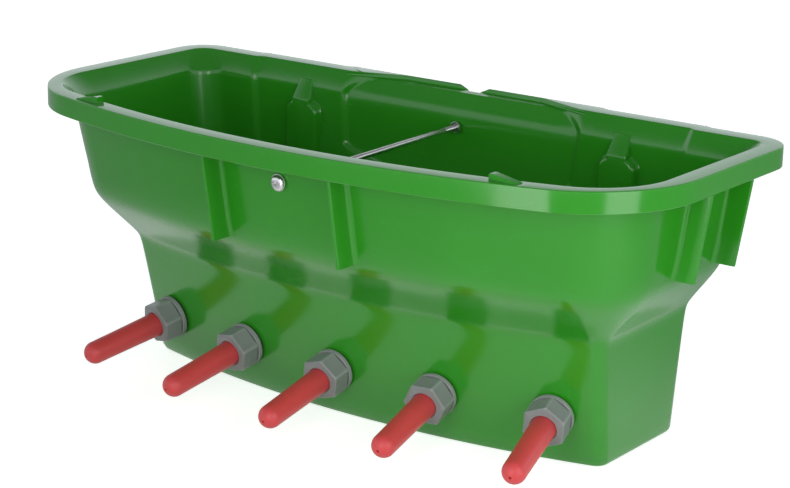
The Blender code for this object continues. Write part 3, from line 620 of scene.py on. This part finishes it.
metre_stations = []
for place in stations:
    made = place.copy()
    made.translation = place.translation * MM
    metre_stations.append(made)


def fit_piece(name, mesh, place, cad_node, body="tub_body"):
    """Puts a piece where its solid stands and lets it take the solid's place."""
    made = new_piece(name, mesh, place)
    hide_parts(cad_node)
    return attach(made, body)


for order, place in enumerate(metre_stations, start=1):
    fit_piece(f"gasket_ring_{order}", gasket_mesh, place, f"sealing_gasket_{order}")

# Valve bodies. A grey nylon moulding through the wall: a round collar outside, a coarse thread in front of
# it for the union nut, a finer one behind it for the lock nut, and a bore with the ball's seat.


def thread(wide, low, high, pitch, deep):
    """Limits a radius to a helical thread of this pitch between two heights."""

    def reach(radius, height, turn):
        if abs(radius - wide) > 0.01 or not low <= height <= high:
            return radius
        along = ((height - low) / pitch - turn / (2 * math.pi)) % 1.0
        run_out = min(1.0, (height - low) / pitch, (high - height) / pitch)
        return wide - deep * abs(2 * along - 1) * max(run_out, 0.0)

    return reach


def thread_rows(wide, low, high, pitch):
    """Profile points close enough together to carry a thread."""
    count = int((high - low) / pitch * 8)
    return [(wide, low + (high - low) * step / count) for step in range(count + 1)]


# Moulded nylon: a mid grey in soft clouds of 18 mm, paler along the edges that hands rub, with an etched
# satin skin. The etching is drawn at 0.6 mm, several times its real size, so that it shows.
nylon, shader, where = start_material("grey_nylon_moulded")
cloud = add_node(nylon, "TexNoise", {"Vector": where, "Scale": per_metre(18.2), "Detail": 3.0})
tone = add_node(
    nylon,
    "MixRGB",
    {"Fac": cloud.outputs["Fac"], "Color1": colour("#6F7371"), "Color2": colour("#7F8280")},
)
edge = add_node(nylon, "NewGeometry").outputs["Pointiness"]
rubbed = add_node(nylon, "MapRange", {"Value": edge, "From Min": 0.52, "From Max": 0.6})
tone = add_node(
    nylon,
    "MixRGB",
    {"Fac": rubbed.outputs["Result"], "Color1": tone.outputs["Color"], "Color2": colour("#A5A8A6")},
)
etch = add_node(nylon, "TexNoise", {"Vector": where, "Scale": per_metre(0.625), "Detail": 2.0})
gloss = add_node(
    nylon,
    "MapRange",
    {"Value": cloud.outputs["Fac"], "From Min": 0.3, "From Max": 0.7, "To Min": 0.34, "To Max": 0.46},
)
etched = add_node(nylon, "Bump", {"Height": etch.outputs["Fac"], "Strength": 0.2, "Distance": 0.0001})
feed(
    nylon,
    shader,
    Base_Color=tone.outputs["Color"],
    Roughness=gloss.outputs["Result"],
    Normal=etched.outputs["Normal"],
)

front_thread = thread(16.2, 7.9, 19.0, 2.4, 0.9)
back_thread = thread(13.0, -16.4, -4.6, 2.0, 0.7)
body_rows = [(12.6, -17.0)] + thread_rows(13.0, -16.4, -4.6, 2.0) + [(13.0, 2.3)]
body_rows += [(21.9, 2.3), (22.5, 2.9), (22.5, 6.7), (21.9, 7.3), (16.2, 7.3)]
body_rows += thread_rows(16.2, 7.9, 19.0, 2.4) + [(15.6, 19.6), (6.9, 19.6), (6.9, 7.05), (5.3, 7.05)]
body_rows += [(5.3, -3.6), (4.9, -4.0), (3.5, -4.0), (3.5, -17.0)]
body_mesh = finished_mesh(
    "valve_body",
    turned(body_rows, 72, lambda r, h, t: front_thread(back_thread(r, h, t), h, t)),
    40.0,
)
body_mesh.materials.append(nylon)
for order, place in enumerate(metre_stations, start=1):
    fit_piece(f"valve_housing_{order}", body_mesh, place, f"valve_body_{order}")

# Union nuts. The same grey nylon: a hexagon 40.6 mm across its flats with soft corners and a bevel round its
# front face, hollow behind, screwed on by hand, so each one stops at its own angle.


def hex_reach(flat, soft):
    """Radius of a hexagon with soft corners at any angle."""
    centre = (flat - soft) / math.cos(math.pi / 6)
    half_corner = math.atan2(soft * 0.5, centre + soft * math.cos(math.pi / 6))

    def reach(radius, height, turn):
        away = abs((turn + math.pi / 6) % (math.pi / 3) - math.pi / 6)
        beside = math.pi / 6 - away
        if beside < half_corner:
            full = centre * math.cos(beside) + math.sqrt(soft**2 - (centre * math.sin(beside)) ** 2)
        else:
            full = flat / math.cos(away)
        return full * radius / flat

    return reach


def outside_only(reach, inner):
    """Leaves a bore round and shapes only what lies outside it."""
    return lambda radius, height, turn: reach(radius, height, turn) if radius > inner else radius


nut_rows = [(16.5, 7.6), (19.6, 7.6), (20.3, 8.4), (20.3, 26.4), (20.1, 27.3), (18.9, 28.3), (18.4, 28.5)]
nut_rows += [(13.9, 28.5), (13.2, 27.9), (13.2, 25.5), (16.5, 25.5)]
nut_mesh = finished_mesh("union_nut", turned(nut_rows, 144, outside_only(hex_reach(20.3, 2.6), 17.0)), 28.0)
nut_mesh.materials.append(nylon)
for order, (place, stop) in enumerate(zip(metre_stations, (13, 13, 17, 2, 22)), start=1):
    turn = Matrix.Rotation(math.radians(stop - 30), 4, "Z")
    fit_piece(f"clamping_nut_{order}", nut_mesh, place @ turn, f"union_nut_{order}")

# Lock nuts. Thin hexagons 36 mm across flats, chamfered on both faces, moulded in the same grey nylon. Each
# is screwed on to a valve body inside the tub and pulls its collar on to the gasket.
lock_rows = [(13.3, -4.7), (13.3, -11.7), (17.2, -11.7), (18.0, -11.0), (18.0, -5.4), (17.2, -4.7)]
lock_mesh = finished_mesh("lock_nut", turned(lock_rows, 144, outside_only(hex_reach(18.0, 2.0), 15.0)), 28.0)
lock_mesh.materials.append(nylon)
for order, place in enumerate(metre_stations, start=1):
    fit_piece(f"inner_nut_{order}", lock_mesh, place, f"lock_nut_{order}")

# Check balls and the slotted rings that keep them in. Each ball lies on its ring while a calf sucks, and is
# pushed back on to its seat when milk would run back. All are white acetal, tumbled to a milky soft sheen.
acetal, shader, where = start_material("white_acetal_tumbled")
haze = add_node(acetal, "TexNoise", {"Vector": where, "Scale": per_metre(2.38), "Detail": 3.0})
tone = add_node(
    acetal,
    "MixRGB",
    {"Fac": haze.outputs["Fac"], "Color1": colour("#DAD9D2"), "Color2": colour("#E6E5DF")},
)
tumbled = add_node(acetal, "Bump", {"Height": haze.outputs["Fac"], "Strength": 0.1, "Distance": 0.0001})
feed(acetal, shader, Base_Color=tone.outputs["Color"], Normal=tumbled.outputs["Normal"])
shader.inputs["Roughness"].default_value = 0.3

BALL = 4.5
SEATED = -4.0 + math.sqrt(BALL**2 - 3.5**2) + 0.3
RESTING = SEATED + 3.7
ball_rows = []
for step in range(1, 24):
    turn = math.pi * (step / 24 - 0.5)
    ball_rows.append((BALL * math.cos(turn), BALL * math.sin(turn)))
ball_shape = bmesh.new()
rings = []
for radius, height in ball_rows:
    ring = [2 * math.pi * step / 36 for step in range(36)]
    round_row = [(radius * math.cos(turn), radius * math.sin(turn), height) for turn in ring]
    rings.append([ball_shape.verts.new(corner) for corner in round_row])
joined_rings(ball_shape, rings)
ball_mesh = finished_mesh("ball", ball_shape)
ball_mesh.materials.append(acetal)
ring_from = RESTING + math.sqrt(BALL**2 - 3.3**2) + 0.3
ring_rows = [(3.3, ring_from), (6.2, ring_from), (6.6, ring_from + 0.4)]
ring_rows += [(6.6, ring_from + 2.6), (3.3, ring_from + 2.6)]


def slotted(radius, height, turn):
    """Opens the ring's bore into four slots that let the milk past the ball."""
    quarter = turn % (math.pi / 2)
    return 5.1 if radius < 4.0 and min(quarter, math.pi / 2 - quarter) < 0.2 else radius


ring_mesh = finished_mesh("retaining_ring", turned(ring_rows, 72, slotted))
ring_mesh.materials.append(acetal)
for order, place in enumerate(metre_stations, start=1):
    fit_piece(f"retaining_ring_{order}", ring_mesh, place, f"ball_retainer_{order}")
    rest = place @ Matrix.Translation((0.0, 0.0, RESTING * MM))
    fit_piece(f"valve_ball_{order}", ball_mesh, rest, f"check_ball_{order}", f"ball_{order}")

# Teats. Soft red rubber, moulded hollow with a flange that the nut clamps, a slightly waisted barrel, a
# round tip and a small hole. The skin is satin, with painted shade at the root beside the nut.
teat_rows = [(16.2, 19.9), (16.2, 25.2), (12.9, 25.2), (12.9, 29.5)]
for step in range(1, 10):
    slimmer = 0.6 * math.sin(math.pi * step / 20) + 0.03 * step
    teat_rows.append((12.9 - slimmer, 29.5 + 7.6 * step))
for step in range(15):
    turn = math.radians(81.0 * step / 14)
    teat_rows.append((12.0 * math.cos(turn), 106.2 + 12.0 * math.sin(turn)))
teat_rows += [(1.5, 118.0), (1.3, 117.7), (1.3, 114.9)]
for step in range(7):
    turn = math.radians(78.0 - 13.0 * step)
    teat_rows.append((8.8 * math.cos(turn), 106.2 + 8.8 * math.sin(turn)))
teat_rows.append((9.7, 19.9))
teat_mesh = finished_mesh("teat", turned(teat_rows, 80), 45.0)

# Moulded rubber: a warm red, mottled in patches of 14 mm, with pores that are drawn at 0.7 mm to show.
red, shader, where = start_material("red_rubber_moulded")
mottle = add_node(
    red,
    "TexNoise",
    {"Vector": where, "Scale": per_metre(14.3), "Detail": 4.0, "Roughness": 0.6},
)
tone = add_node(
    red,
    "MixRGB",
    {"Fac": mottle.outputs["Fac"], "Color1": colour("#D64145"), "Color2": colour("#E04C4E")},
)
height = add_node(red, "SeparateXYZ", {"Vector": where}).outputs["Z"]
# Painted shade beside the nut: the teat darkens from 60 mm out along its axis down to 30 mm, next to the
# nut's face.
root = add_node(
    red,
    "MapRange",
    {"Value": height, "From Min": 0.03, "From Max": 0.06, "To Min": 0.35, "To Max": 0.0},
)
tone = add_node(
    red,
    "MixRGB",
    {"Fac": root.outputs["Result"], "Color1": tone.outputs["Color"], "Color2": colour("#9A2A2E")},
)
satin = add_node(
    red,
    "MapRange",
    {"Value": mottle.outputs["Fac"], "From Min": 0.3, "From Max": 0.7, "To Min": 0.38, "To Max": 0.5},
)
pores = add_node(red, "TexNoise", {"Vector": where, "Scale": per_metre(0.667), "Detail": 2.0})
skin_bump = add_node(red, "Bump", {"Height": pores.outputs["Fac"], "Strength": 0.25, "Distance": 0.0001})
feed(
    red,
    shader,
    Base_Color=tone.outputs["Color"],
    Roughness=satin.outputs["Result"],
    Normal=skin_bump.outputs["Normal"],
)
shader.inputs["IOR"].default_value = 1.5
teat_mesh.materials.append(red)
for order, place in enumerate(metre_stations, start=1):
    fit_piece(f"rubber_teat_{order}", teat_mesh, place, f"teat_{order}")

# Tie rod. A 6 mm stainless bar across the tub that keeps its long walls apart, threaded at both ends and
# drawn smooth between, held at each wall by a button-headed sleeve nut, a washer and a jam nut.
# Drawn stainless steel: bright and slightly warm, with lines along the bar that break its shine into streaks.
# They are drawn 0.4 mm apart and some 17 mm long, coarser than the die leaves them, so that they show.
steel, shader, where = start_material("stainless_steel_drawn")
line = add_node(
    steel,
    "Mapping",
    {"Vector": where, "Scale": (per_metre(0.4), per_metre(0.4), per_metre(16.67))},
)
drawn = add_node(steel, "TexNoise", {"Vector": line.outputs["Vector"], "Scale": 1.0, "Detail": 3.0})
tone = add_node(
    steel,
    "MixRGB",
    {"Fac": drawn.outputs["Fac"], "Color1": colour("#D8D5D6"), "Color2": colour("#E4E2E3")},
)
gloss = add_node(
    steel,
    "MapRange",
    {"Value": drawn.outputs["Fac"], "From Min": 0.3, "From Max": 0.7, "To Min": 0.2, "To Max": 0.36},
)
lines_bump = add_node(steel, "Bump", {"Height": drawn.outputs["Fac"], "Strength": 0.15, "Distance": 0.0001})
feed(
    steel,
    shader,
    Base_Color=tone.outputs["Color"],
    Roughness=gloss.outputs["Result"],
    Normal=lines_bump.outputs["Normal"],
)
shader.inputs["Metallic"].default_value = 1.0

near_thread = thread(3.0, 1.5, 29.0, 1.0, 0.35)
far_thread = thread(3.0, rod_span - 29.0, rod_span - 1.5, 1.0, 0.35)
rod_rows = [(0.01, 1.2), (2.6, 1.2)] + thread_rows(3.0, 1.5, 29.0, 1.0)
rod_rows += thread_rows(3.0, rod_span - 29.0, rod_span - 1.5, 1.0)
rod_rows += [(2.6, rod_span - 1.2), (0.01, rod_span - 1.2)]
rod_shape = turned(rod_rows, 24, lambda r, h, t: far_thread(near_thread(r, h, t), h, t))
rod_mesh = finished_mesh("rod", rod_shape, 50.0)

washer_rows = rounded([(4.5, -1.9), (8.6, -1.9), (8.6, -3.1), (4.5, -3.1)], (0.2, 0.2, 0.3, 0.2), 3)
washer_mesh = finished_mesh("washer", turned(washer_rows, 48))

socket = hex_reach(2.6, 0.2)
head_rows = [(0.01, 0.6), (3.3, 0.6), (3.3, 10.2), (4.2, 10.2), (4.2, -3.4), (7.4, -3.4), (7.8, -3.8)]
for step in range(9):
    turn = math.radians(10.0 + 62.0 * step / 8)
    head_rows.append((7.9 * math.cos(turn), -3.4 - 3.7 * math.sin(turn)))
head_rows += [(3.2, -7.0), (2.6, -6.7), (2.6, -4.4), (0.01, -4.1)]
sleeve_mesh = finished_mesh(
    "sleeve",
    turned(head_rows, 48, lambda r, h, t: socket(r, h, t) if abs(r - 2.6) < 0.05 else r),
    30.0,
)
jam_rows = [(4.5, 5.9), (4.5, 9.1), (5.7, 9.1), (6.0, 8.8), (6.0, 6.2), (5.7, 5.9)]
jam_mesh = finished_mesh("jam", turned(jam_rows, 96, outside_only(hex_reach(6.0, 0.5), 5.0)), 28.0)
for mesh in (rod_mesh, washer_mesh, sleeve_mesh, jam_mesh):
    mesh.materials.append(steel)

near, far = rod_place.copy(), rod_far.copy()
near.translation = rod_place.translation * MM
far.translation = rod_far.translation * MM
fit_piece("cross_rod", rod_mesh, near, "tie_rod")
for end, place in (("front", near), ("back", far)):
    fit_piece(f"{end}_button_head", sleeve_mesh, place, f"{end}_sleeve_nut")
    fit_piece(f"{end}_flat_washer", washer_mesh, place, f"{end}_washer")
    fit_piece(f"{end}_hex_nut", jam_mesh, place, f"{end}_jam_nut")

# Studio. A plain white paper floor that runs on to a white background, a soft sky that is brightest low down
# and dim overhead, and two tall strips of light that stand on the floor and show in the rim's skirt. In
# reflections the floor also glows round the tub, a painted pool of light.
floor_shape = bmesh.new()
bmesh.ops.create_grid(floor_shape, x_segments=1, y_segments=1, size=6.0)
floor_mesh = bpy.data.meshes.new("studio_floor")
floor_shape.to_mesh(floor_mesh)
floor_shape.free()
floor = new_piece("studio_floor", floor_mesh, Matrix.Translation((0.0, 0.0, -0.0005)))
paper, shader, where = start_material("white_paper_floor")
grain = add_node(paper, "TexNoise", {"Vector": where, "Scale": per_metre(33.3)})
tone = add_node(
    paper,
    "MixRGB",
    {"Fac": grain.outputs["Fac"], "Color1": colour("#F6F6F6"), "Color2": colour("#FAFAFA")},
)
feed(paper, shader, Base_Color=tone.outputs["Color"])
shader.inputs["Roughness"].default_value = 0.9
# Painted reflection: in glossy and transmission rays the floor glows up to 0.5 brighter close round the tub,
# fading to 0.05 farther out, so the tub's shoulder mirrors a pool of painted light.
rays = add_node(paper, "LightPath")
mirrored = add_node(
    paper,
    "Math",
    {0: rays.outputs["Is Glossy Ray"], 1: rays.outputs["Is Transmission Ray"]},
    operation="MAXIMUM",
)
squeezed = add_node(paper, "Mapping", {"Vector": where, "Scale": (0.55, 1.0, 0.0)})
away = add_node(paper, "VectorMath", {0: squeezed.outputs["Vector"]}, operation="LENGTH")
painted_glow_pool = add_node(
    paper,
    "MapRange",
    {"Value": away.outputs["Value"], "From Min": 0.22, "From Max": 0.42, "To Min": 0.5, "To Max": 0.05},
)
painted_reflection_glow = add_node(
    paper,
    "Math",
    {0: mirrored.outputs["Value"], 1: painted_glow_pool.outputs["Result"]},
    operation="MULTIPLY",
)
backdrop_and_painted_glow = add_node(
    paper,
    "Math",
    {0: rays.outputs["Is Camera Ray"], 1: 0.72, 2: painted_reflection_glow.outputs["Value"]},
    operation="MULTIPLY_ADD",
)
feed(paper, shader, Emission_Strength=backdrop_and_painted_glow.outputs["Value"])
shader.inputs["Emission Color"].default_value = (1.0, 1.0, 1.0, 1.0)
floor_mesh.materials.append(paper)

world = bpy.data.worlds.new("studio")
bpy.context.scene.world = world
world.use_nodes = True
sky = world.node_tree.nodes["Background"]
aim = add_node(world, "SeparateXYZ", {"Vector": add_node(world, "TexCoord").outputs["Generated"]})
ceiling = add_node(
    world,
    "MapRange",
    {"Value": aim.outputs["Z"], "From Min": 0.33, "From Max": 0.56, "To Min": 1.15, "To Max": 0.22},
)
world.node_tree.links.new(ceiling.outputs["Result"], sky.inputs["Strength"])
sky.inputs["Color"].default_value = colour("#F4FAFF")

for name, spot, target, wide, tall, watts in (
    ("front_strip", (0.295, -0.76, 0.365), (0.29, -0.1, 0.365), 0.24, 0.67, 1.6),
    ("corner_strip", (0.82, -0.27, 0.365), (0.34, -0.1, 0.365), 0.28, 0.67, 1.65),
):
    lamp = bpy.data.lights.new(name, "AREA")
    lamp.shape = "RECTANGLE"
    lamp.size, lamp.size_y, lamp.energy = wide, tall, watts
    made = bpy.data.objects.new(name, lamp)
    line = Vector(target) - Vector(spot)
    made.matrix_world = Matrix.Translation(Vector(spot)) @ line.to_track_quat("-Z", "Y").to_matrix().to_4x4()
    bpy.context.scene.collection.objects.link(made)

# Camera. A long lens from the right front, a little above the rim and turned by a degree.
camera_data = bpy.data.cameras.new("camera")
camera_data.lens = 99.8
camera_data.sensor_width = 36.0
camera_data.sensor_fit = "HORIZONTAL"
camera_data.clip_end = 50.0
eye, target = Vector((1.2817, -1.7062, 0.7800)), Vector((0.0114, 0.0274, 0.1678))
ahead = (target - eye).normalized()
level_right = ahead.cross(Vector((0.0, 0.0, 1.0))).normalized()
upright = level_right.cross(ahead)
roll = math.radians(1.17)
right = level_right * math.cos(roll) + upright * math.sin(roll)
up = upright * math.cos(roll) - level_right * math.sin(roll)
pose = Matrix((right, up, -ahead)).transposed().to_4x4()
pose.translation = eye
camera = bpy.data.objects.new("camera", camera_data)
camera.matrix_world = pose
bpy.context.scene.collection.objects.link(camera)
bpy.context.scene.camera = camera
bpy.context.scene.view_settings.view_transform = "Standard"
